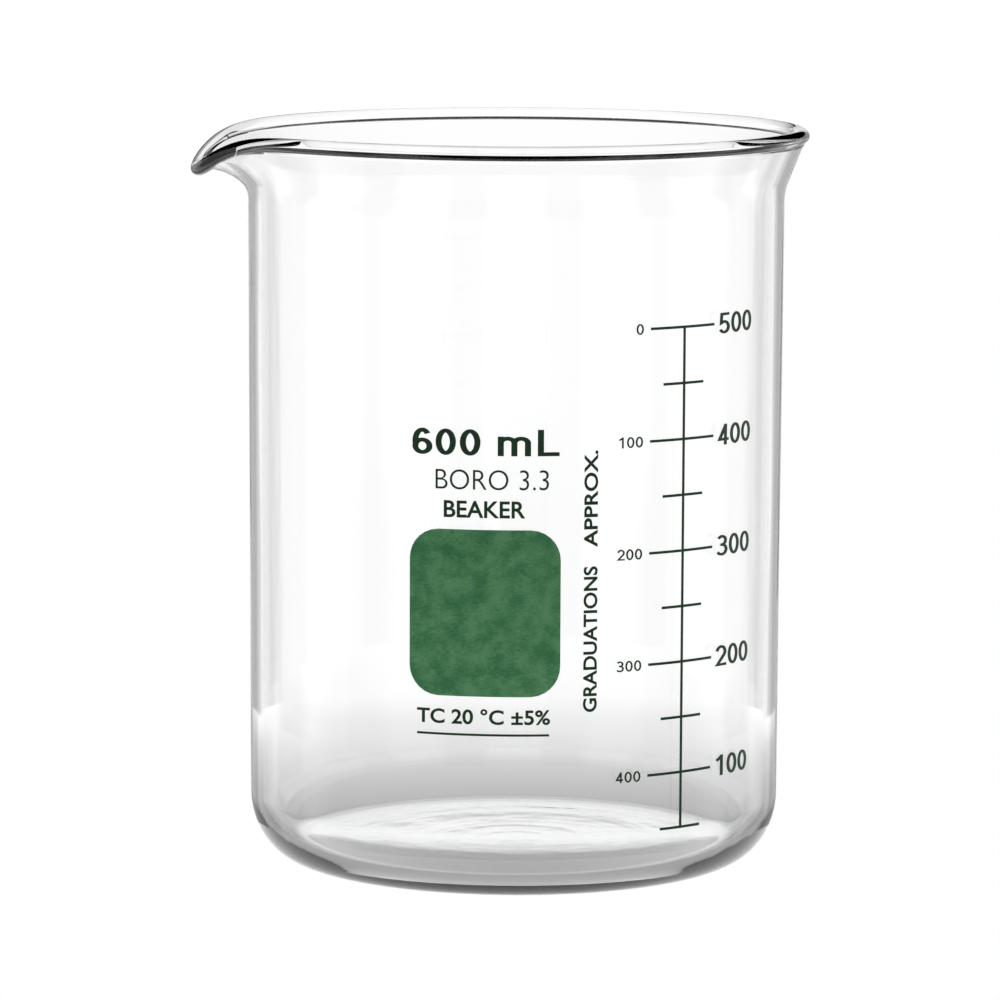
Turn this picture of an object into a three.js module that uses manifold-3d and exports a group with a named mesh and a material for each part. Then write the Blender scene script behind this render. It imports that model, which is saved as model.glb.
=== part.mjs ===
// Low-form (Griffin) laboratory beaker, 600 mL: one blown borosilicate vessel with a flat base,
// a flared and beaded rim and a pulled pour spout, marked with fired-on green enamel.
// Millimetres, +Z up. The origin is the centre of the base, on the plane the beaker stands on.
// The spout points along -X, and the XZ plane is the glass body's mirror plane.
import * as THREE from 'three';
import { mergeVertices } from 'three/addons/utils/BufferGeometryUtils.js';
import Module from 'manifold-3d';

const wasm = await Module();
wasm.setup();

// ---- Glass body ------------------------------------------------------------------------------
const RIM_HEIGHT = 124.8;
const BODY_RADIUS = 45;
const WALL = 2;
const BASE_THICKNESS = 3;
const CORNER_WIDTH = 9;
const CORNER_HEIGHT = 11.5;
const BODY_TAPER = 0.36;
const FLARE_HEIGHT = 112.2;
const FLARE_BEND_RADIUS = 10;
const FLARE_ANGLE = THREE.MathUtils.degToRad(22);
const RIM_RADIUS = 49.5;
const BEAD_HALF_WIDTH = 1.45;
const BEAD_HALF_HEIGHT = 1.13;
const BEAD_TILT = THREE.MathUtils.degToRad(10);
const BEAD_NECK_DROP = 2.35;

// ---- Pour spout: how far the bead is pulled out and down, and over how wide an angle -----------
const SPOUT_AZIMUTH = Math.PI;
const SPOUT_REACH = 5.7;
const SPOUT_DROP = 5.6;
const SPOUT_REACH_SPREAD = THREE.MathUtils.degToRad(30);
const SPOUT_DROP_SPREAD = THREE.MathUtils.degToRad(20);
const SPOUT_REACH_POWER = 4;
const SPOUT_DROP_POWER = 3;
const SPOUT_BLEND_POWER = 2.1;

// ---- Fineness of the glass mesh ----------------------------------------------------------------
const AZIMUTH_STEPS = 96;
const SPOUT_CROWDING = 0.55;
const CORNER_STEPS = 6;
const FLARE_STEPS = 4;
const BEAD_STEPS = 10;

// ---- Enamel print ------------------------------------------------------------------------------
// Places on the print are an arc length round the wall, counted anticlockwise from above, and a
// height above the base. Arc 0 is the azimuth below.
const PRINT_AZIMUTH = THREE.MathUtils.degToRad(-98);
const ENAMEL_THICKNESS = 0.12;
const ENAMEL_GAP = 0.08;
const BEND_STEP = 1.6;

const SCALE_ARC = 29.45;
const SCALE_LINE_WIDTH = 0.44;
const TICK_WIDTH = 0.43;
const LONG_TICK = 13.3;
const SHORT_TICK = 8.3;
const LOWEST_TICK_HEIGHT = 11.5;
const TICK_SPACING = 9.233;
const TICK_COUNT = 10;
const TICK_VOLUME = 50;

// A pen is a broad nib: its upright strokes are pen wide and its level strokes are thin tall.
const HELD_NUMERALS = { arc: 37.3, width: 2.75, height: 3.45, gap: 0.47, pen: 0.68, thin: 0.44 };
const TO_FILL_NUMERALS = { arc: 21.45, width: 1.3, height: 1.8, gap: 0.28, pen: 0.29, thin: 0.25 };
const TITLE = { arc: -17.35, base: 74.3, height: 4.32, pen: 1, thin: 0.64 };
const TITLE_GLYPHS = [
  { glyph: '6', name: 'title_digit_6', start: 0.15, width: 3.45 },
  { glyph: '0', name: 'title_digit_0_first', start: 4.15, width: 3.4 },
  { glyph: '0', name: 'title_digit_0_second', start: 8.2, width: 3.4 },
  { glyph: 'm', name: 'title_letter_m', start: 14.4, width: 5.4 },
  { glyph: 'L', name: 'title_letter_L', start: 20.9, width: 3.55 },
];
const PATCH = { arc: -5.1, height: 48.4, width: 25, tall: 27.5, corner: 5 };
const PATCH_COLUMNS = 24;
const UNDERLINE = { arc: -5.3, height: 28.3, width: 21.9, tall: 0.36 };
const ARC_STEP = 16;

// ---- Materials ---------------------------------------------------------------------------------
const glass = new THREE.MeshStandardMaterial({ color: 0xdfe6df, roughness: 0.03, metalness: 0 });
const enamel = new THREE.MeshStandardMaterial({ color: 0x2c6b43, roughness: 0.4, metalness: 0 });

const beaker = new THREE.Group();
beaker.name = 'beaker';

function addPiece(name, geometry, material) {
  const mesh = new THREE.Mesh(geometry, material.clone());
  mesh.name = name;
  beaker.add(mesh);
}

// ---- Glass body shape --------------------------------------------------------------------------

// The outer wall widens very slightly from the base corner up to the flare.
function wallRadius(height) {
  const rise = (height - CORNER_HEIGHT) / (FLARE_HEIGHT - CORNER_HEIGHT);
  return BODY_RADIUS + BODY_TAPER * rise;
}

// Outer face of the flare, as [radius, height]: a bend away from the wall, then a straight cone.
function flareOutline() {
  const start = wallRadius(FLARE_HEIGHT);
  const points = [];
  for (let step = 0; step <= FLARE_STEPS; step += 1) {
    const turn = (FLARE_ANGLE * step) / FLARE_STEPS;
    const out = FLARE_BEND_RADIUS * (1 - Math.cos(turn));
    points.push([start + out, FLARE_HEIGHT + FLARE_BEND_RADIUS * Math.sin(turn)]);
  }
  const [bendEnd, bendTop] = points[FLARE_STEPS];
  const coneTop = RIM_HEIGHT - BEAD_NECK_DROP;
  for (let step = 1; step <= FLARE_STEPS; step += 1) {
    const height = THREE.MathUtils.lerp(bendTop, coneTop, step / FLARE_STEPS);
    points.push([bendEnd + (height - bendTop) * Math.tan(FLARE_ANGLE), height]);
  }
  return points;
}

// The spout pulls a point of the rim outwards by reach and down by drop, less and less below it.
function pulled([radius, height], reach, drop) {
  const top = RIM_HEIGHT - BEAD_HALF_HEIGHT;
  const rise = THREE.MathUtils.clamp((height - FLARE_HEIGHT) / (top - FLARE_HEIGHT), 0, 1);
  const share = rise ** SPOUT_BLEND_POWER;
  return new THREE.Vector2(radius + reach * share, height - drop * share);
}

// The wall's inner face lies one wall thickness behind each outer point, square to the outline.
function offsetInwards(outline) {
  return outline.map((point, index) => {
    const before = outline[Math.max(index - 1, 0)];
    const after = outline[Math.min(index + 1, outline.length - 1)];
    const along = after.clone().sub(before).normalize();
    return new THREE.Vector2(point.x - WALL * along.y, point.y + WALL * along.x);
  });
}

// The bead is a tilted ellipse whose widest point is the rim radius and whose top is the rim
// height. It runs from the end of the outer face, over the top, to the end of the inner face.
function beadOutline(outerEnd, innerEnd, reach, drop) {
  const lean = Math.sin(BEAD_TILT);
  const upright = Math.cos(BEAD_TILT);
  const halfAcross = Math.hypot(BEAD_HALF_WIDTH * upright, BEAD_HALF_HEIGHT * lean);
  const halfTall = Math.hypot(BEAD_HALF_HEIGHT * upright, BEAD_HALF_WIDTH * lean);
  const centre = pulled([RIM_RADIUS - halfAcross, RIM_HEIGHT - halfTall], reach, drop);
  const origin = new THREE.Vector2();
  const turnTowards = (end) => {
    const level = end.clone().sub(centre).rotateAround(origin, BEAD_TILT);
    return Math.atan2(level.y / BEAD_HALF_HEIGHT, level.x / BEAD_HALF_WIDTH);
  };
  const start = turnTowards(outerEnd);
  const sweep = THREE.MathUtils.euclideanModulo(turnTowards(innerEnd) - start, 2 * Math.PI);
  const points = [];
  for (let step = 0; step <= BEAD_STEPS; step += 1) {
    const turn = start + sweep * (step / BEAD_STEPS);
    const level = new THREE.Vector2(
      BEAD_HALF_WIDTH * Math.cos(turn),
      BEAD_HALF_HEIGHT * Math.sin(turn),
    );
    points.push(level.rotateAround(origin, -BEAD_TILT).add(centre));
  }
  return points;
}

// The whole section from the centre of the underside, up the outside, over the bead and down the
// inside to the centre of the floor, for one strength of the spout.
function section(reach, drop) {
  const flat = BODY_RADIUS - CORNER_WIDTH;
  const outerCorner = [];
  const innerCorner = [];
  for (let step = 0; step <= CORNER_STEPS; step += 1) {
    const turn = (Math.PI / 2) * (step / CORNER_STEPS);
    const across = Math.sin(turn);
    const down = Math.cos(turn);
    outerCorner.push(new THREE.Vector2(
      flat + CORNER_WIDTH * across,
      CORNER_HEIGHT * (1 - down),
    ));
    innerCorner.push(new THREE.Vector2(
      flat + (CORNER_WIDTH - WALL) * across,
      CORNER_HEIGHT - (CORNER_HEIGHT - BASE_THICKNESS) * down,
    ));
  }
  const flare = flareOutline().map((point) => pulled(point, reach, drop));
  const innerFlare = offsetInwards(flare);
  const last = flare.length - 1;
  return [
    new THREE.Vector2(0, 0),
    ...outerCorner,
    ...flare,
    ...beadOutline(flare[last], innerFlare[last], reach, drop),
    ...innerFlare.reverse(),
    ...innerCorner.reverse(),
    new THREE.Vector2(0, BASE_THICKNESS),
  ];
}

// A bell-shaped share, 1 at the spout's middle and fading to 0 away from it.
function spoutShare(angle, spread, power) {
  return (1 + (angle / spread) ** 2) ** -power;
}

// A lathe of the plain section, whose columns of points are then redrawn one azimuth at a time
// with the spout's pull. The columns crowd together near the spout.
function vesselGeometry() {
  const plain = section(0, 0);
  const geometry = new THREE.LatheGeometry(plain, AZIMUTH_STEPS);
  const position = geometry.attributes.position;
  for (let column = 0; column <= AZIMUTH_STEPS; column += 1) {
    const even = (column / AZIMUTH_STEPS) * 2 * Math.PI - Math.PI;
    const fromSpout = even - SPOUT_CROWDING * Math.sin(even);
    const reach = SPOUT_REACH * spoutShare(fromSpout, SPOUT_REACH_SPREAD, SPOUT_REACH_POWER);
    const drop = SPOUT_DROP * spoutShare(fromSpout, SPOUT_DROP_SPREAD, SPOUT_DROP_POWER);
    const azimuth = SPOUT_AZIMUTH + fromSpout;
    section(reach, drop).forEach((point, row) => {
      const x = point.x * Math.cos(azimuth);
      const y = point.x * Math.sin(azimuth);
      position.setXYZ(column * plain.length + row, x, y, point.y);
    });
  }
  return geometry;
}

// ---- Enamel shapes -----------------------------------------------------------------------------

// Wraps a flat layout (x = arc, y = height, z = lift off the glass) onto the wall.
function wrapOnWall(geometry) {
  const position = geometry.attributes.position;
  for (let index = 0; index < position.count; index += 1) {
    const height = position.getY(index);
    const radius = wallRadius(height);
    const azimuth = PRINT_AZIMUTH + position.getX(index) / radius;
    const lifted = radius + ENAMEL_GAP + position.getZ(index);
    position.setXYZ(index, lifted * Math.cos(azimuth), lifted * Math.sin(azimuth), height);
  }
  return geometry;
}

function toSolid(geometry) {
  const bare = geometry.clone();
  bare.deleteAttribute('normal');
  bare.deleteAttribute('uv');
  const merged = mergeVertices(bare, 1e-5);
  return new wasm.Manifold(new wasm.Mesh({
    numProp: 3,
    vertProperties: new Float32Array(merged.attributes.position.array),
    triVerts: new Uint32Array(merged.index.array),
  }));
}

// Joins the wrapped pieces of one printed island into a single closed body.
function joined(geometries) {
  const solid = geometries.map(toSolid).reduce((sum, next) => sum.add(next));
  const mesh = solid.getMesh();
  const geometry = new THREE.BufferGeometry();
  geometry.setAttribute('position', new THREE.BufferAttribute(mesh.vertProperties, 3));
  geometry.setIndex(new THREE.BufferAttribute(mesh.triVerts, 1));
  return geometry;
}

// A printed bar, centred on an arc and a height, with enough steps to follow the wall.
function bar(arc, height, width, tall) {
  const steps = Math.max(1, Math.ceil(width / BEND_STEP));
  const flat = new THREE.BoxGeometry(width, tall, ENAMEL_THICKNESS, steps, 1, 1);
  return wrapOnWall(flat.translate(arc, height, ENAMEL_THICKNESS / 2));
}

// A printed block with rounded corners: columns of a bar, each as tall as the outline there.
function roundedBlock({ arc, height, width, tall, corner }) {
  const geometry = new THREE.BoxGeometry(width, tall, ENAMEL_THICKNESS, PATCH_COLUMNS, 1, 1);
  const position = geometry.attributes.position;
  for (let index = 0; index < position.count; index += 1) {
    const even = position.getX(index) / (width / 2);
    const across = (width / 2) * Math.sin((Math.PI / 2) * even);
    const intoCorner = Math.max(Math.abs(across) - (width / 2 - corner), 0) / corner;
    const cut = corner * (1 - Math.sqrt(Math.max(1 - intoCorner ** 2, 0)));
    position.setX(index, across);
    position.setY(index, Math.sign(position.getY(index)) * (tall / 2 - cut));
  }
  return wrapOnWall(geometry.translate(arc, height, ENAMEL_THICKNESS / 2));
}

// ---- Glyphs: a pen drawn along lines and arcs --------------------------------------------------

function line(...coordinates) {
  const points = [];
  for (let index = 0; index < coordinates.length; index += 2) {
    points.push(new THREE.Vector2(coordinates[index], coordinates[index + 1]));
  }
  return points;
}

// An arc round (x, y), from one angle to another in degrees, anticlockwise when to > from.
function arc(x, y, radiusX, radiusY, from, to) {
  const steps = Math.max(3, Math.ceil(Math.abs(to - from) / ARC_STEP));
  const points = [];
  for (let step = 0; step <= steps; step += 1) {
    const turn = THREE.MathUtils.degToRad(from + ((to - from) * step) / steps);
    points.push(new THREE.Vector2(x + radiusX * Math.cos(turn), y + radiusY * Math.sin(turn)));
  }
  return points;
}

// Each glyph gives the pen's paths inside a box that is width wide and height tall. A closed path
// is a ring. The pen keeps half its width inside the box.
const GLYPHS = {
  0: ({ width, height, pen }) => {
    const ring = arc(width / 2, height / 2, (width - pen) / 2, (height - pen) / 2, 0, 360);
    return [{ path: ring.slice(0, -1), closed: true }];
  },
  1: ({ width, height, pen }) => {
    const stem = width * 0.64;
    const flag = height * 0.74;
    return [
      { path: line(stem, 0, stem, height) },
      { path: line(stem, height - pen * 0.6, width * 0.18, flag) },
    ];
  },
  2: ({ width, height, pen }) => {
    const radius = (width - pen) / 2;
    const bowlHeight = height * 0.28 - pen / 4;
    const top = arc(width / 2, height - pen / 2 - bowlHeight, radius, bowlHeight, 172, -38);
    return [{ path: [...top, ...line(pen * 0.62, pen / 2, width, pen / 2)] }];
  },
  3: ({ width, height, pen }) => {
    const middle = height * 0.53;
    const upper = (height - pen / 2 - middle) / 2;
    const lower = (middle - pen / 2) / 2;
    const left = width * 0.46;
    return [
      { path: arc(left, middle + upper, width * 0.94 - left - pen / 2, upper, 150, -90) },
      { path: arc(left, middle - lower, width - left - pen / 2, lower, 90, -152) },
      { path: line(width * 0.34, middle, left + 0.01, middle) },
    ];
  },
  4: ({ width, height, pen }) => {
    const stem = width * 0.7;
    const foot = height * 0.27;
    return [
      { path: line(stem, 0, stem, height) },
      { path: line(stem, height - pen / 2, pen * 0.6, foot, width, foot) },
    ];
  },
  5: ({ width, height, pen }) => {
    const bowl = (height * 0.64 - pen) / 2;
    const centre = pen / 2 + bowl;
    const bend = arc(width * 0.48, centre, width * 0.52 - pen / 2, bowl, 100, -152);
    const top = line(width * 0.94, height - pen / 2, width * 0.24, height - pen / 2);
    return [{ path: [...top, ...line(width * 0.19, centre + bowl * 0.72), ...bend] }];
  },
  6: ({ width, height, pen }) => {
    const bowl = (height * 0.62 - pen) / 2;
    const centre = pen / 2 + bowl;
    const radius = (width - pen) / 2;
    const ring = arc(width / 2, centre, radius, bowl, 0, 360).slice(0, -1);
    const back = arc(width / 2, height / 2, radius, (height - pen) / 2, 42, 205);
    return [{ path: ring, closed: true }, { path: back }];
  },
  m: ({ width, height, pen }) => {
    const shoulder = height * 0.74;
    const pitch = (width - pen) / 2;
    const radius = pitch / 2;
    const spring = shoulder - pen / 2 - radius;
    const strokes = [{ path: line(pen / 2, 0, pen / 2, shoulder) }];
    for (const stem of [0, 1]) {
      const centre = pen / 2 + radius + pitch * stem;
      const arch = arc(centre, spring, radius, radius, 165, 0);
      strokes.push({ path: [...arch, ...line(centre + radius, 0)] });
    }
    return strokes;
  },
  L: ({ width, height, pen }) => [
    { path: line(pen / 2, height, pen / 2, pen / 2, width, pen / 2) },
  ],
};

// Points half a pen width to one side of a path, mitred at its corners.
function penEdge({ path, closed }, offset) {
  const count = path.length;
  return path.map((point, index) => {
    const before = closed ? path[(index + count - 1) % count] : path[Math.max(index - 1, 0)];
    const after = closed ? path[(index + 1) % count] : path[Math.min(index + 1, count - 1)];
    const incoming = point.clone().sub(before);
    const outgoing = after.clone().sub(point);
    if (incoming.length() === 0) incoming.copy(outgoing);
    if (outgoing.length() === 0) outgoing.copy(incoming);
    incoming.normalize();
    outgoing.normalize();
    const normal = new THREE.Vector2(-incoming.y - outgoing.y, incoming.x + outgoing.x);
    normal.normalize();
    const reach = offset / Math.max(normal.dot(new THREE.Vector2(-incoming.y, incoming.x)), 0.5);
    return point.clone().addScaledVector(normal, reach);
  });
}

function strokeShape(stroke, pen) {
  const left = penEdge(stroke, pen / 2);
  const right = penEdge(stroke, -pen / 2);
  if (!stroke.closed) return new THREE.Shape([...left, ...right.reverse()]);
  const shape = new THREE.Shape(right);
  shape.holes.push(new THREE.Path(left));
  return shape;
}

// The glyph is drawn too tall with a round pen, then squashed, which thins its level strokes.
function addGlyph(name, glyph, box) {
  const squash = box.thin / box.pen;
  const strokes = GLYPHS[glyph]({ ...box, height: box.height / squash }).map((stroke) => {
    const slab = new THREE.ExtrudeGeometry(strokeShape(stroke, box.pen), {
      depth: ENAMEL_THICKNESS,
      bevelEnabled: false,
    });
    return wrapOnWall(slab.scale(1, squash, 1).translate(box.arc, box.base, 0));
  });
  addPiece(name, joined(strokes), enamel);
}

function addNumeral(name, text, left, middle, style) {
  [...text].forEach((digit, index) => {
    const box = {
      ...style,
      arc: left + index * (style.width + style.gap),
      base: middle - style.height / 2,
    };
    addGlyph(`${name}_digit_${index + 1}`, digit, box);
  });
}

// ---- Assembly ----------------------------------------------------------------------------------

addPiece('glass_vessel', vesselGeometry(), glass);

// The scale: one upright line joined to ten ticks, long at each 100 mL and short between them.
const tickHeights = Array.from(
  { length: TICK_COUNT },
  (_, index) => LOWEST_TICK_HEIGHT + index * TICK_SPACING,
);
const isLong = (index) => index % 2 === 1;
const scaleTop = tickHeights[TICK_COUNT - 1] + TICK_WIDTH / 2;
const scaleBottom = tickHeights[0] - TICK_WIDTH / 2;
const scaleMiddle = (scaleTop + scaleBottom) / 2;
addPiece('graduation_scale', joined([
  bar(SCALE_ARC, scaleMiddle, SCALE_LINE_WIDTH, scaleTop - scaleBottom),
  ...tickHeights.map((height, index) => (
    bar(SCALE_ARC, height, isLong(index) ? LONG_TICK : SHORT_TICK, TICK_WIDTH)
  )),
]), enamel);

// Volume held, to the right of each long tick, and volume still to fill, to the left of it.
tickHeights.forEach((height, index) => {
  if (!isLong(index)) return;
  const held = String(TICK_VOLUME * (index + 1));
  const toFill = String(TICK_VOLUME * (TICK_COUNT - 1 - index));
  addNumeral(`held_${held}`, held, HELD_NUMERALS.arc, height, HELD_NUMERALS);
  const pitch = TO_FILL_NUMERALS.width + TO_FILL_NUMERALS.gap;
  const left = TO_FILL_NUMERALS.arc - toFill.length * pitch + TO_FILL_NUMERALS.gap;
  addNumeral(`to_fill_${toFill}`, toFill, left, height, TO_FILL_NUMERALS);
});

for (const { glyph, name, start, width } of TITLE_GLYPHS) {
  addGlyph(name, glyph, { ...TITLE, arc: TITLE.arc + start, width });
}

addPiece('marking_patch', roundedBlock(PATCH), enamel);
addPiece('underline', bar(UNDERLINE.arc, UNDERLINE.height, UNDERLINE.width, UNDERLINE.tall), enamel);

export default beaker;
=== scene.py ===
"""The looks of the low-form beaker: its fine glass, its enamel print, a plain studio and the camera."""
import math

import bmesh
import bpy
import numpy as np
from mathutils import Matrix, Vector


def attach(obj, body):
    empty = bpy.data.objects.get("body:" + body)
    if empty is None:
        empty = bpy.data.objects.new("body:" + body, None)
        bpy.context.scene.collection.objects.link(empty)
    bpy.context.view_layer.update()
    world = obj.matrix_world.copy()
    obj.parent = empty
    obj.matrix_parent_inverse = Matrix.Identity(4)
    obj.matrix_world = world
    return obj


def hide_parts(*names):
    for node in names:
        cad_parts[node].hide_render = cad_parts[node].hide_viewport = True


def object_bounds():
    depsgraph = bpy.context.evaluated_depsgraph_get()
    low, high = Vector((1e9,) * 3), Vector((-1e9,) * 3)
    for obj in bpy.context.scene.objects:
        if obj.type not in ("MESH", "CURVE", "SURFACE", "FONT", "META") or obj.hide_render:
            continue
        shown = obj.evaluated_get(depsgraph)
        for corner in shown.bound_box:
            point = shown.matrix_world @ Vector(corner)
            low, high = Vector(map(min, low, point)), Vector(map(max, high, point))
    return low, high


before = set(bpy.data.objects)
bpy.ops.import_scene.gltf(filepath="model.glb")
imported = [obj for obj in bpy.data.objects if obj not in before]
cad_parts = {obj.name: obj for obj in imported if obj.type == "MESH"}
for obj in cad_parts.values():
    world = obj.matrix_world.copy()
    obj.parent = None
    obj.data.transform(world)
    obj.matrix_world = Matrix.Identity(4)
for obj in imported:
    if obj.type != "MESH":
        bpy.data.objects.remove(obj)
cad_low, cad_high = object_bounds()

MM = 0.001

# The glass body, in millimetres. It is the CAD model's, but for a slightly taller bead on the rim and
# the faint push-up of the underside.
RIM_HEIGHT = cad_high.z / MM
BODY_RADIUS = 45.0
WALL = 2.0
BASE_THICKNESS = 3.0
CORNER_WIDTH = 9.0
CORNER_HEIGHT = 11.5
PUSH_UP_RADIUS = 32.0
PUSH_UP_HEIGHT = 0.15
BODY_TAPER = 0.36
FLARE_HEIGHT = 112.2
FLARE_BEND_RADIUS = 10.0
FLARE_ANGLE = math.radians(22)
RIM_RADIUS = 49.5
BEAD_HALF_WIDTH = 1.45
BEAD_HALF_HEIGHT = 1.2
BEAD_TILT = math.radians(10)
BEAD_NECK_DROP = 2.45
SPOUT_REACH = 5.7
SPOUT_DROP = 5.6
SPOUT_REACH_SPREAD = math.radians(30)
SPOUT_DROP_SPREAD = math.radians(20)
SPOUT_REACH_POWER = 4
SPOUT_DROP_POWER = 3
SPOUT_BLEND_POWER = 2.1

# The camera stands in front of the print, a little above the rim, with a long lens. Its distance and
# target are in metres, its lens and sensor in millimetres.
CAMERA_AZIMUTH = math.radians(-98)
CAMERA_ELEVATION = math.radians(7.636)
CAMERA_ROLL = math.radians(0.257)
CAMERA_DISTANCE = 0.99461
CAMERA_LENS = 210.27
SENSOR_WIDTH = 36
NEAREST_SEEN = 0.01
CAMERA_TARGET = Vector((-2.523, 0.355, 61.055)) * MM

# The print is laid out in arc lengths round the wall from this azimuth, and heights above the base.
PRINT_AZIMUTH = math.radians(-98)
ENAMEL_GAP = 0.08
LETTER_THICKNESS = 0.06
LETTER_CURVE_STEPS = 6
MERGE_DISTANCE = 1e-5

# Plain generic words: name, words, left arc, base, width, height, weight, reads upwards.
PRINTED_LINES = (
    ("line_glass_type", "BORO 3.3", -13.2, 68.7, 18.6, 3.3, -0.008, False),
    ("line_form", "BEAKER", -11.8, 64.1, 13.4, 2.8, 0.02, False),
    ("line_calibration", "TC 20 °C ±5%", -16.3, 30.0, 22.1, 2.6, 0.022, False),
    ("line_graduations", "GRADUATIONS", 13.6, 31.95, 24.1, 2.36, 0.022, True),
    ("line_approximate", "APPROX.", 13.6, 59.2, 15.9, 2.36, 0.022, True),
)


# ---- Glass body ------------------------------------------------------------------------------

# Fineness of the mesh: sections round the axis, and points along each stretch of a section.
SECTIONS = 360
FLOOR_STEPS = 28
CORNER_STEPS = 24
WALL_STEPS = 20
FLARE_STEPS = 14
BEAD_STEPS = 32

# How much closer together the sections stand at the spout, from 0 for evenly to 1.
SPOUT_CROWDING = 0.5


def wall_radius(height):
    """Outer radius of the wall, which widens very slightly from the base corner to the flare."""
    rise = (height - CORNER_HEIGHT) / (FLARE_HEIGHT - CORNER_HEIGHT)
    return BODY_RADIUS + BODY_TAPER * rise


def flare_outline():
    """Outer face of the flare as rows of (radius, height): a bend, then a straight cone."""
    turn = np.linspace(0, FLARE_ANGLE, FLARE_STEPS)
    bend_radius = wall_radius(FLARE_HEIGHT) + FLARE_BEND_RADIUS * (1 - np.cos(turn))
    bend_height = FLARE_HEIGHT + FLARE_BEND_RADIUS * np.sin(turn)
    cone_height = np.linspace(bend_height[-1], RIM_HEIGHT - BEAD_NECK_DROP, FLARE_STEPS + 1)[1:]
    cone_radius = bend_radius[-1] + (cone_height - bend_height[-1]) * math.tan(FLARE_ANGLE)
    return np.column_stack([np.append(bend_radius, cone_radius), np.append(bend_height, cone_height)])


def pulled(points, reach, drop):
    """Points of the flare as the spout pulls them, outwards and down, less and less below the rim."""
    top = RIM_HEIGHT - BEAD_HALF_HEIGHT
    rise = np.clip((points[:, 1] - FLARE_HEIGHT) / (top - FLARE_HEIGHT), 0, 1)
    share = rise ** SPOUT_BLEND_POWER
    return points + np.column_stack([reach * share, -drop * share])


def offset_inwards(outline):
    """The inner face, one wall thickness behind the outer outline."""
    along = np.gradient(outline, axis=0)
    along /= np.linalg.norm(along, axis=1)[:, None]
    return outline + WALL * np.column_stack([-along[:, 1], along[:, 0]])


def corner_outline(flat, across, down):
    """The base corner, a quarter ellipse from the flat base up to the wall, as (radius, height)."""
    turn = np.linspace(0, math.pi / 2, CORNER_STEPS)
    return np.column_stack([flat + across * np.sin(turn), CORNER_HEIGHT - down * np.cos(turn)])


def bead_outline(outer_end, inner_end, reach, drop):
    """The bead, a tilted ellipse, from the end of the outer face over the top to the inner face."""
    across = np.array([math.cos(BEAD_TILT), -math.sin(BEAD_TILT)])
    up = np.array([math.sin(BEAD_TILT), math.cos(BEAD_TILT)])
    half_across = math.hypot(BEAD_HALF_WIDTH * across[0], BEAD_HALF_HEIGHT * up[0])
    half_tall = math.hypot(BEAD_HALF_HEIGHT * up[1], BEAD_HALF_WIDTH * across[1])
    middle = np.array([[RIM_RADIUS - half_across, RIM_HEIGHT - half_tall]])
    centre = pulled(middle, reach, drop)[0]

    def turn_towards(end):
        offset = end - centre
        return math.atan2(offset @ up / BEAD_HALF_HEIGHT, offset @ across / BEAD_HALF_WIDTH)

    start = turn_towards(outer_end)
    full_turn = (turn_towards(inner_end) - start) % (2 * math.pi)
    turn = start + np.linspace(0, full_turn, BEAD_STEPS)
    outwards = np.outer(BEAD_HALF_WIDTH * np.cos(turn), across)
    upwards = np.outer(BEAD_HALF_HEIGHT * np.sin(turn), up)
    return centre + outwards + upwards


def section(reach, drop):
    """The glass outline from the middle of the underside, over the rim, to the middle of the floor."""
    flat = BODY_RADIUS - CORNER_WIDTH
    flat_rows = np.linspace(0, flat, FLOOR_STEPS)[:-1]
    push_up = PUSH_UP_HEIGHT * np.clip(1 - (flat_rows / PUSH_UP_RADIUS) ** 2, 0, 1)
    underside = np.column_stack([flat_rows, push_up])
    floor = np.column_stack([flat_rows, np.full_like(flat_rows, BASE_THICKNESS)])
    outer_corner = corner_outline(flat, CORNER_WIDTH, CORNER_HEIGHT)
    inner_corner = corner_outline(flat, CORNER_WIDTH - WALL, CORNER_HEIGHT - BASE_THICKNESS)
    wall_height = np.linspace(CORNER_HEIGHT, FLARE_HEIGHT, WALL_STEPS)[1:-1]
    outer_wall = np.column_stack([wall_radius(wall_height), wall_height])
    inner_wall = outer_wall - np.array([WALL, 0])
    flare = pulled(flare_outline(), reach, drop)
    inner_flare = offset_inwards(flare)
    bead = bead_outline(flare[-1], inner_flare[-1], reach, drop)
    return np.vstack([
        underside, outer_corner, outer_wall, flare, bead,
        inner_flare[::-1], inner_wall[::-1], inner_corner[::-1], floor[::-1],
    ])


def spout_share(angle, spread, power):
    """A bell-shaped share, 1 at the spout's middle and fading to 0 away from it."""
    return (1 + (angle / spread) ** 2) ** -power


def mesh_object(name, vertices, faces):
    """A new object in the scene, with a mesh of these vertices and faces."""
    mesh = bpy.data.meshes.new(name)
    mesh.from_pydata([tuple(v) for v in vertices], [], faces)
    mesh.validate()
    mesh.update()
    obj = bpy.data.objects.new(name, mesh)
    bpy.context.scene.collection.objects.link(obj)
    return obj


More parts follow.
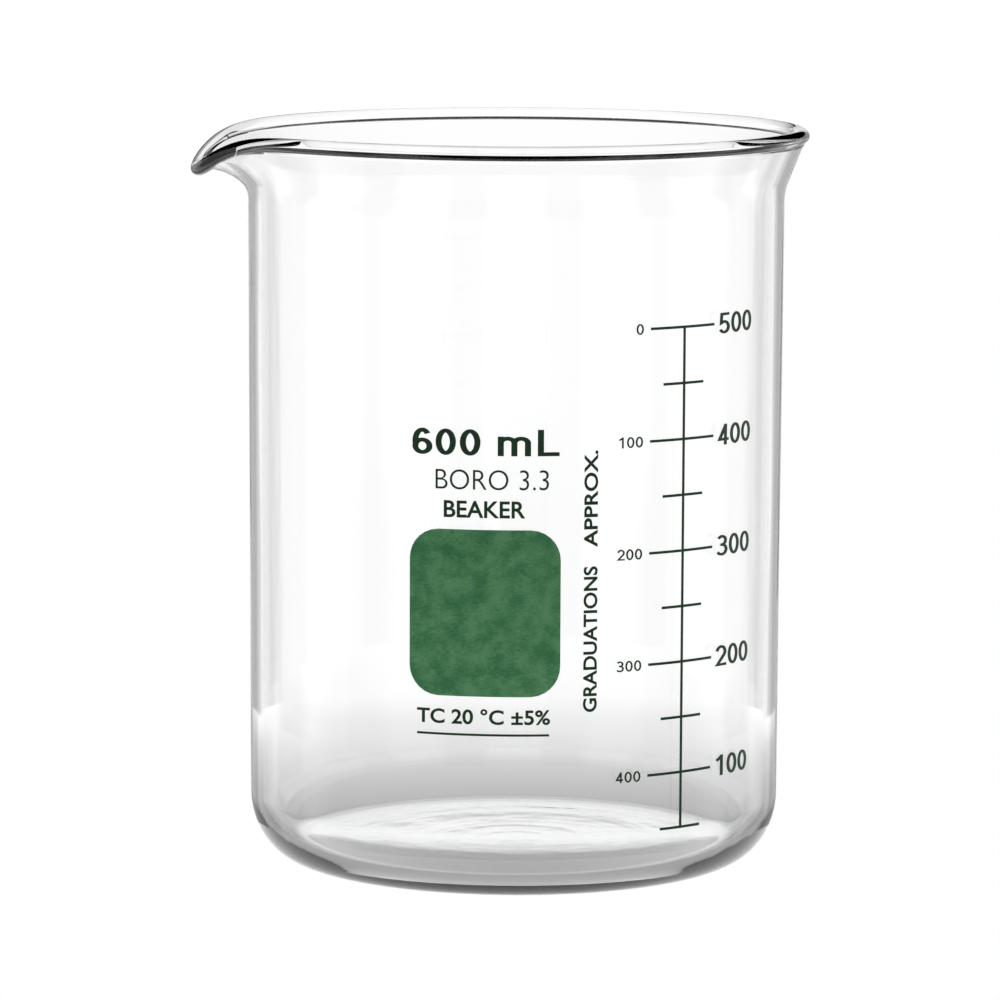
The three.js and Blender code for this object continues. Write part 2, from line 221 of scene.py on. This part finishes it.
def make_vessel():
    """The glass at full fineness: one section for each azimuth, joined round the axis."""
    vertices = []
    for column in range(SECTIONS):
        even = 2 * math.pi * column / SECTIONS - math.pi
        from_spout = even - SPOUT_CROWDING * math.sin(even)
        reach = SPOUT_REACH * spout_share(from_spout, SPOUT_REACH_SPREAD, SPOUT_REACH_POWER)
        drop = SPOUT_DROP * spout_share(from_spout, SPOUT_DROP_SPREAD, SPOUT_DROP_POWER)
        azimuth = math.pi + from_spout
        outline = section(reach, drop)[1:-1] * MM
        radius = outline[:, 0]
        vertices.append(np.column_stack(
            [radius * math.cos(azimuth), radius * math.sin(azimuth), outline[:, 1]]
        ))
    rows = len(vertices[0])
    vertices = np.vstack(vertices)
    under, floor = len(vertices), len(vertices) + 1
    vertices = np.vstack([
        vertices, [[0, 0, PUSH_UP_HEIGHT * MM], [0, 0, BASE_THICKNESS * MM]],
    ])
    faces = []
    for column in range(SECTIONS):
        here = column * rows
        there = (column + 1) % SECTIONS * rows
        for row in range(rows - 1):
            faces.append((here + row, there + row, there + row + 1, here + row + 1))
        faces.append((under, there, here))
        faces.append((floor, here + rows - 1, there + rows - 1))
    vessel = mesh_object("beaker_glass", vertices, faces)
    vessel.data.polygons.foreach_set("use_smooth", [True] * len(vessel.data.polygons))
    return vessel


# ---- Materials ---------------------------------------------------------------------------------

# The glass: its refraction, and the faint green that shows where it is deep.
GLASS_INDEX = 1.474
GLASS_TINT = (0.55, 0.80, 0.62)
TINT_DENSITY = 8

# Its relief. Depths and heights are in metres. The cords run upright, so they are stretched along z.
WALL_CORD = 0.00003
CORD_SCALE = 120
CORD_STRETCH = (1, 1, 0.12)
BASE_RIPPLE = 0.00002
RIPPLE_SCALE = 300
RIPPLE_UNEVENNESS = 0.12
RIPPLE_FADE_HEIGHTS = 0.003, 0.012

# The enamel: clouds of two greens under the fine grain of the printing screen.
PATCH_GREENS = (0.05, 0.31, 0.11), (0.18, 0.52, 0.22)
LETTER_GREENS = (0.004, 0.048, 0.012), (0.012, 0.09, 0.025)
CLOUD_SCALE = 350
CLOUD_SHARE = 0.65
CLOUD_SPREAD = 0.3, 0.7
GRAIN_SCALE = 1500
GRAIN_STRETCH = (1, 1, 4)
GREEN_SPREAD = 0.36, 0.64
ENAMEL_ROUGHNESS = 0.35, 0.55
ENAMEL_RELIEF = 0.00002


class Graph:
    """A node tree, emptied, with short ways to add the nodes that the materials here use."""

    def __init__(self, tree):
        tree.nodes.clear()
        self.nodes = tree.nodes
        self.links = tree.links

    def feed(self, socket, value):
        """Set a socket to a number, or link another node's output to it."""
        if isinstance(value, (int, float)):
            socket.default_value = value
        else:
            self.links.new(value, socket)

    def finish(self, output_kind, **sockets):
        """Add the tree's output node and link what it shows."""
        output = self.nodes.new(output_kind)
        for name, value in sockets.items():
            self.links.new(value, output.inputs[name])

    def coordinates(self, kind):
        return self.nodes.new("ShaderNodeTexCoord").outputs[kind]

    def split(self, vector):
        """The x, y and z of a vector."""
        node = self.nodes.new("ShaderNodeSeparateXYZ")
        self.links.new(vector, node.inputs[0])
        return node.outputs

    def light_path(self, question):
        """1 where the answer is yes for the ray that looks at this place, and 0 otherwise."""
        return self.nodes.new("ShaderNodeLightPath").outputs[question]

    def math(self, operation, *values):
        node = self.nodes.new("ShaderNodeMath")
        node.operation = operation
        for socket, value in zip(node.inputs, values):
            self.feed(socket, value)
        return node.outputs[0]

    def add(self, first, second):
        return self.math("ADD", first, second)

    def multiply(self, first, second):
        return self.math("MULTIPLY", first, second)

    def ramp(self, value, low, high, at_low, at_high, kind="SMOOTHSTEP"):
        """Goes from at_low to at_high as the value goes from low to high, and stays there beyond."""
        node = self.nodes.new("ShaderNodeMapRange")
        node.interpolation_type = kind
        self.feed(node.inputs["Value"], value)
        self.feed(node.inputs["From Min"], low)
        self.feed(node.inputs["From Max"], high)
        self.feed(node.inputs["To Min"], at_low)
        self.feed(node.inputs["To Max"], at_high)
        return node.outputs["Result"]

    def noise(self, place, scale, detail, stretch=(1, 1, 1)):
        """Cloudy values round 0.5; the place is stretched first."""
        mapping = self.nodes.new("ShaderNodeMapping")
        mapping.inputs["Scale"].default_value = stretch
        self.links.new(place, mapping.inputs["Vector"])
        texture = self.nodes.new("ShaderNodeTexNoise")
        texture.inputs["Scale"].default_value = scale
        texture.inputs["Detail"].default_value = detail
        self.links.new(mapping.outputs["Vector"], texture.inputs["Vector"])
        return texture.outputs["Fac"]

    def bump(self, height, depth):
        """Surface relief, this deep in metres where the height is 1."""
        node = self.nodes.new("ShaderNodeBump")
        node.inputs["Strength"].default_value = 1.0
        node.inputs["Distance"].default_value = depth
        self.links.new(height, node.inputs["Height"])
        return node.outputs["Normal"]

    def from_axis(self, x, y):
        """How far (x, y) lies from the beaker's axis."""
        return self.math("SQRT", self.add(self.multiply(x, x), self.multiply(y, y)))

    def along(self, x, y, azimuth):
        """How far (x, y) lies in the direction of an azimuth."""
        return self.add(self.multiply(x, math.cos(azimuth)), self.multiply(y, math.sin(azimuth)))


def new_material(name):
    """An empty material, and the graph that builds it."""
    material = bpy.data.materials.new(name)
    material.use_nodes = True
    return material, Graph(material.node_tree)


def glass_relief(graph):
    """Faint upright cords in the wall, and rings of ripples in the pressed base."""
    place = graph.coordinates("Object")
    x, y, z = graph.split(place)
    cords = graph.noise(place, CORD_SCALE, detail=2, stretch=CORD_STRETCH)
    rings = graph.nodes.new("ShaderNodeCombineXYZ")
    graph.links.new(graph.from_axis(x, y), rings.inputs[0])
    graph.links.new(graph.multiply(x, RIPPLE_UNEVENNESS), rings.inputs[1])
    graph.links.new(graph.multiply(y, RIPPLE_UNEVENNESS), rings.inputs[2])
    ripples = graph.noise(rings.outputs[0], RIPPLE_SCALE, detail=1)
    ripple_depth = graph.ramp(z, *RIPPLE_FADE_HEIGHTS, BASE_RIPPLE, 0)
    height = graph.add(graph.multiply(cords, WALL_CORD), graph.multiply(ripples, ripple_depth))
    return graph.bump(height, depth=1.0)


def glass_material():
    """Clear borosilicate glass, faintly green in its depth."""
    material, graph = new_material("clear_borosilicate")
    shader = graph.nodes.new("ShaderNodeBsdfPrincipled")
    shader.inputs["Base Color"].default_value = (1, 1, 1, 1)
    shader.inputs["Roughness"].default_value = 0.0
    shader.inputs["IOR"].default_value = GLASS_INDEX
    shader.inputs["Transmission Weight"].default_value = 1.0
    graph.links.new(glass_relief(graph), shader.inputs["Normal"])
    absorb = graph.nodes.new("ShaderNodeVolumeAbsorption")
    absorb.inputs["Color"].default_value = (*GLASS_TINT, 1)
    absorb.inputs["Density"].default_value = TINT_DENSITY
    graph.finish(
        "ShaderNodeOutputMaterial", Surface=shader.outputs["BSDF"], Volume=absorb.outputs["Volume"]
    )
    return material


def enamel_material(name, deep, light):
    """Fired screen-printed enamel, cloudy between two greens, with the grain of the screen."""
    material, graph = new_material(name)
    place = graph.coordinates("Object")
    clouds = graph.noise(place, CLOUD_SCALE, detail=5)
    grain = graph.noise(place, GRAIN_SCALE, detail=2, stretch=GRAIN_STRETCH)
    mottle = graph.add(graph.multiply(clouds, CLOUD_SHARE), graph.multiply(grain, 1 - CLOUD_SHARE))
    # A colour mix has its two colours in sockets 6 and 7, and the result in output 2.
    colour = graph.nodes.new("ShaderNodeMix")
    colour.data_type = "RGBA"
    graph.links.new(graph.ramp(mottle, *GREEN_SPREAD, 0, 1), colour.inputs[0])
    colour.inputs[6].default_value = (*deep, 1)
    colour.inputs[7].default_value = (*light, 1)
    shader = graph.nodes.new("ShaderNodeBsdfPrincipled")
    graph.links.new(colour.outputs[2], shader.inputs["Base Color"])
    roughness = graph.ramp(clouds, *CLOUD_SPREAD, *ENAMEL_ROUGHNESS)
    graph.links.new(roughness, shader.inputs["Roughness"])
    graph.links.new(graph.bump(grain, ENAMEL_RELIEF), shader.inputs["Normal"])
    graph.finish("ShaderNodeOutputMaterial", Surface=shader.outputs["BSDF"])
    return material


# ---- Lettering ---------------------------------------------------------------------------------

def printed_line(name, words, left, base, width, height, weight, upright=False):
    """A line of plain lettering wrapped on the wall. An upright line reads upwards from its base."""
    curve = bpy.data.curves.new(name, "FONT")
    curve.body = words
    curve.resolution_u = LETTER_CURVE_STEPS
    curve.offset = weight
    curve.extrude = 0.5  # any depth will do, because the points are scaled below
    flat = bpy.data.objects.new(name, curve)
    bpy.context.scene.collection.objects.link(flat)
    bpy.context.view_layer.update()
    mesh = bpy.data.meshes.new_from_object(flat)
    bpy.data.objects.remove(flat)
    tidy = bmesh.new()
    tidy.from_mesh(mesh)
    bmesh.ops.remove_doubles(tidy, verts=tidy.verts, dist=MERGE_DISTANCE)
    points = np.array([vertex.co for vertex in tidy.verts])
    points -= points.min(axis=0)
    points *= np.array([width, height, LETTER_THICKNESS]) / points.max(axis=0)
    for vertex, (along, across, lift) in zip(tidy.verts, points):
        arc, rise = (left - across, base + along) if upright else (left + along, base + across)
        radius = wall_radius(rise)
        azimuth = PRINT_AZIMUTH + arc / radius
        lifted = (radius + ENAMEL_GAP + lift) * MM
        vertex.co = lifted * math.cos(azimuth), lifted * math.sin(azimuth), rise * MM
    tidy.to_mesh(mesh)
    tidy.free()
    piece = bpy.data.objects.new(name, mesh)
    bpy.context.scene.collection.objects.link(piece)
    return piece


# ---- Studio ------------------------------------------------------------------------------------

# Tall soft boxes stand in a ring a metre away, in a room that is dark overhead, one of them straight
# behind the beaker. The camera itself doesn't see them: it sees a plain white floor and backdrop.
# Glows are strengths of emission, and lengths are in metres.
BOX_COUNT = 8
BOX_AZIMUTH = CAMERA_AZIMUTH
BOX_GLOW = 1.07
GAP_GLOW = 0.5
BOX_HALF_WIDTH = math.radians(13)
BOX_BLUR = math.radians(3)
RING_RADIUS = 1.0
RING_FOOT = -0.25
RING_HEIGHT = 0.28
RING_BLUR = 0.03
HORIZON_BLUR = 0.02

# What the glass mirrors from low down in front is dark, a painted shade that stands in for a floor in
# shadow. The darkness sets in between these two shares of the way to the front of the ring. It ends
# between two heights on the ring, and where the glass looks below the ring, between two slopes of the
# line of sight.
FRONT_FOOT_GLOW = 0.02
FRONT_SHARES = -0.1, 0.2
FOOT_HEIGHTS = -0.09, -0.03
FOOT_SLOPES = -0.27, -0.21

# The table top under and round the beaker, which only shows through the glass, glows though it is no
# lamp:
# painted light with painted shadows. It is bright under the base, darker where the wall meets it in a
# painted contact shadow that is darkest in front, and brighter again further out, up to its rim. Each
# pair of places is where a change in the glow begins and ends, measured backwards from the axis.
TABLE_RADIUS = 0.165
UNDER_BASE_RADIUS = 0.036
UNDER_BASE_BLUR = 0.004
UNDER_BASE_PLACES = -0.04, 0
UNDER_BASE_GLOW = 1.0
CONTACT_SHADOW_RADIUS = 0.05
CONTACT_SHADOW_PLACES = -0.03, 0.03
FRONT_SHADOW_GLOW = 0.38
NEAR_SHADOW_GLOW = 0.58

# It has a painted shadow to the left and right, behind the beaker, from this far aside. The two edges
# of the painted shadow spread apart by SIDE_SPREAD of the way back, and it fades out towards the rim.
SIDE_PLACES = -0.02, 0
SIDE_OFFSETS = 0.038, 0.058
SIDE_SPREAD = 0.2
SIDE_GLOW = 0.3
SIDE_FAR_GLOW = 0.65
SIDE_FADE_RADIUS = 0.12

# A smaller disc that glows evenly, though it is no lamp, is what the glass mirrors: a painted
# reflection of a lit table top.
SHEEN_GLOW = 1.2
SHEEN_RADIUS = 0.052

# The discs lie a little under the beaker, apart from each other.
FLOOR_RADIUS = 1.5
FLOOR_HEIGHT = -0.0002
SHEEN_HEIGHT = -0.00015
TABLE_HEIGHT = -0.0001
DISC_CORNERS = 128


def box_pattern(graph, x, y):
    """The glow of the ring in the direction of (x, y): bright soft boxes with grey gaps."""
    turned = graph.math("SUBTRACT", graph.math("ARCTAN2", y, x), BOX_AZIMUTH)
    wave = graph.math("COSINE", graph.multiply(turned, BOX_COUNT))
    inner = math.cos(BOX_COUNT * (BOX_HALF_WIDTH - BOX_BLUR))
    outer = math.cos(BOX_COUNT * (BOX_HALF_WIDTH + BOX_BLUR))
    return graph.ramp(wave, outer, inner, GAP_GLOW, BOX_GLOW)


def with_dark_foot(graph, boxes, x, y, z, reach, foot):
    """The boxes' glow, made dark low down in front, over the foot's range of z, for reflections:
    painted shade, as of a floor in shadow.
    """
    towards_front = graph.along(x, y, CAMERA_AZIMUTH)
    begins, full = (share * reach for share in FRONT_SHARES)
    front = graph.ramp(towards_front, begins, full, boxes, FRONT_FOOT_GLOW)
    mirrored = graph.ramp(z, *foot, front, boxes)
    return graph.ramp(graph.light_path("Is Reflection Ray"), 0, 1, boxes, mirrored, "LINEAR")


def make_world():
    """White behind everything for the camera; for the glass, the boxes' glow below the horizon."""
    world = bpy.data.worlds.new("studio")
    bpy.context.scene.world = world
    world.use_nodes = True
    graph = Graph(world.node_tree)
    x, y, z = graph.split(graph.coordinates("Generated"))
    boxes = box_pattern(graph, x, y)
    below = with_dark_foot(graph, boxes, x, y, z, 1, FOOT_SLOPES)
    walls = graph.ramp(z, 0, HORIZON_BLUR, below, 0.0)
    strength = graph.math("MAXIMUM", graph.light_path("Is Camera Ray"), walls)
    background = graph.nodes.new("ShaderNodeBackground")
    background.inputs["Color"].default_value = (1, 1, 1, 1)
    graph.links.new(strength, background.inputs["Strength"])
    graph.finish("ShaderNodeOutputWorld", Surface=background.outputs[0])


def glow_material(name, find_strength):
    """A glow, the same in all directions, of strength find_strength(graph, x, y, z) at each place."""
    material, graph = new_material(name)
    strength = find_strength(graph, *graph.split(graph.coordinates("Object")))
    light = graph.nodes.new("ShaderNodeEmission")
    graph.feed(light.inputs["Strength"], strength)
    graph.finish("ShaderNodeOutputMaterial", Surface=light.outputs[0])
    return material


def ring_glow(graph, x, y, z):
    """The soft boxes, which end softly at the top."""
    boxes = box_pattern(graph, x, y)
    glow = with_dark_foot(graph, boxes, x, y, z, RING_RADIUS, FOOT_HEIGHTS)
    return graph.ramp(z, RING_HEIGHT - RING_BLUR, RING_HEIGHT, glow, 0.0)


def side_shade(graph, distance, behind, aside):
    """The share of its glow that the table keeps under its painted side shadows, left and right, behind
    the beaker.
    """
    outside = graph.math("SUBTRACT", aside, graph.multiply(behind, SIDE_SPREAD))
    close_glow = graph.ramp(
        distance, CONTACT_SHADOW_RADIUS, SIDE_FADE_RADIUS, SIDE_GLOW, SIDE_FAR_GLOW, "LINEAR"
    )
    side_glow = graph.ramp(distance, SIDE_FADE_RADIUS, TABLE_RADIUS, close_glow, 1)
    side = graph.ramp(outside, *SIDE_OFFSETS, 1, side_glow)
    return graph.ramp(behind, *SIDE_PLACES, 1, side)


def table_glow(graph, x, y, _z):
    """The table top's painted light and painted shadows, from under the base out to its rim."""
    distance = graph.from_axis(x, y)
    behind = graph.along(x, y, CAMERA_AZIMUTH + math.pi)
    aside = graph.math("ABSOLUTE", graph.along(x, y, CAMERA_AZIMUTH + math.pi / 2))
    # Painted shadow, darkest in front: under the base, and as a contact shadow where the wall meets the
    # table.
    under = graph.ramp(behind, *UNDER_BASE_PLACES, FRONT_SHADOW_GLOW, UNDER_BASE_GLOW, "LINEAR")
    contact_shadow = graph.ramp(behind, *CONTACT_SHADOW_PLACES, FRONT_SHADOW_GLOW, NEAR_SHADOW_GLOW)
    clear = graph.ramp(distance, CONTACT_SHADOW_RADIUS, TABLE_RADIUS, contact_shadow, BOX_GLOW, "LINEAR")
    round_base = graph.multiply(clear, side_shade(graph, distance, behind, aside))
    base_edge = UNDER_BASE_RADIUS + UNDER_BASE_BLUR
    return graph.ramp(distance, UNDER_BASE_RADIUS, base_edge, under, round_base)


def disc_points(radius, height):
    """The corners of a flat, level disc round the axis."""
    turns = np.linspace(0, 2 * math.pi, DISC_CORNERS, endpoint=False)
    heights = np.full(DISC_CORNERS, height)
    return np.column_stack([np.cos(turns) * radius, np.sin(turns) * radius, heights])


def glowing_disc(name, radius, height, find_strength):
    """A disc with a glow material of its own."""
    disc = mesh_object(name, disc_points(radius, height), [tuple(range(DISC_CORNERS))])
    disc.data.materials.append(glow_material(name, find_strength))
    return disc


def make_ring():
    """The wall of soft boxes, from its foot up."""
    foot = disc_points(RING_RADIUS, RING_FOOT)
    top = disc_points(RING_RADIUS, RING_HEIGHT)
    quads = []
    for corner in range(DISC_CORNERS):
        following = (corner + 1) % DISC_CORNERS
        quads.append((corner, following, DISC_CORNERS + following, DISC_CORNERS + corner))
    ring = mesh_object("soft_boxes", np.vstack([foot, top]), quads)
    ring.data.materials.append(glow_material("soft_boxes", ring_glow))
    return ring


def make_stage():
    """The white floor that the camera sees, and the table top with its painted light and shadow, its
    painted reflection and the soft boxes that the glass sees.
    """
    floor = glowing_disc("floor", FLOOR_RADIUS, FLOOR_HEIGHT, lambda *_: 1.0)
    floor.visible_transmission = False
    floor.visible_glossy = False
    floor.visible_diffuse = False
    table = glowing_disc("table_top", TABLE_RADIUS, TABLE_HEIGHT, table_glow)
    table.visible_glossy = False
    sheen = glowing_disc("table_sheen", SHEEN_RADIUS, SHEEN_HEIGHT, lambda *_: SHEEN_GLOW)
    sheen.visible_transmission = False
    sheen.visible_diffuse = False
    ring = make_ring()
    for piece in (table, sheen, ring):
        piece.visible_camera = False


def make_camera():
    """A camera on the azimuth and elevation above, rolled a little about its own axis."""
    back = Vector((
        math.cos(CAMERA_AZIMUTH) * math.cos(CAMERA_ELEVATION),
        math.sin(CAMERA_AZIMUTH) * math.cos(CAMERA_ELEVATION),
        math.sin(CAMERA_ELEVATION),
    ))
    level = Vector((0, 0, 1)).cross(back).normalized()
    upright = back.cross(level)
    right = level * math.cos(CAMERA_ROLL) + upright * math.sin(CAMERA_ROLL)
    up = back.cross(right)
    data = bpy.data.cameras.new("camera")
    data.lens = CAMERA_LENS
    data.sensor_width = SENSOR_WIDTH
    data.clip_start = NEAREST_SEEN
    camera = bpy.data.objects.new("camera", data)
    camera.matrix_world = Matrix.Translation(CAMERA_TARGET + back * CAMERA_DISTANCE) @ Matrix(
        (right, up, back)
    ).transposed().to_4x4()
    bpy.context.scene.collection.objects.link(camera)
    bpy.context.scene.camera = camera


# ---- Assembly ----------------------------------------------------------------------------------

make_camera()
make_world()
make_stage()
bpy.context.scene.view_settings.view_transform = "Standard"

vessel = make_vessel()
vessel.data.materials.append(glass_material())
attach(vessel, "root")
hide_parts("glass_vessel")

patch_enamel = enamel_material("patch_enamel", *PATCH_GREENS)
letter_enamel = enamel_material("letter_enamel", *LETTER_GREENS)
for name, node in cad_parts.items():
    if name != "glass_vessel":
        node.data.materials.clear()
        node.data.materials.append(patch_enamel if name == "marking_patch" else letter_enamel)

for name, *layout in PRINTED_LINES:
    line = printed_line(name, *layout)
    line.data.materials.clear()
    line.data.materials.append(letter_enamel)
    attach(line, "root")
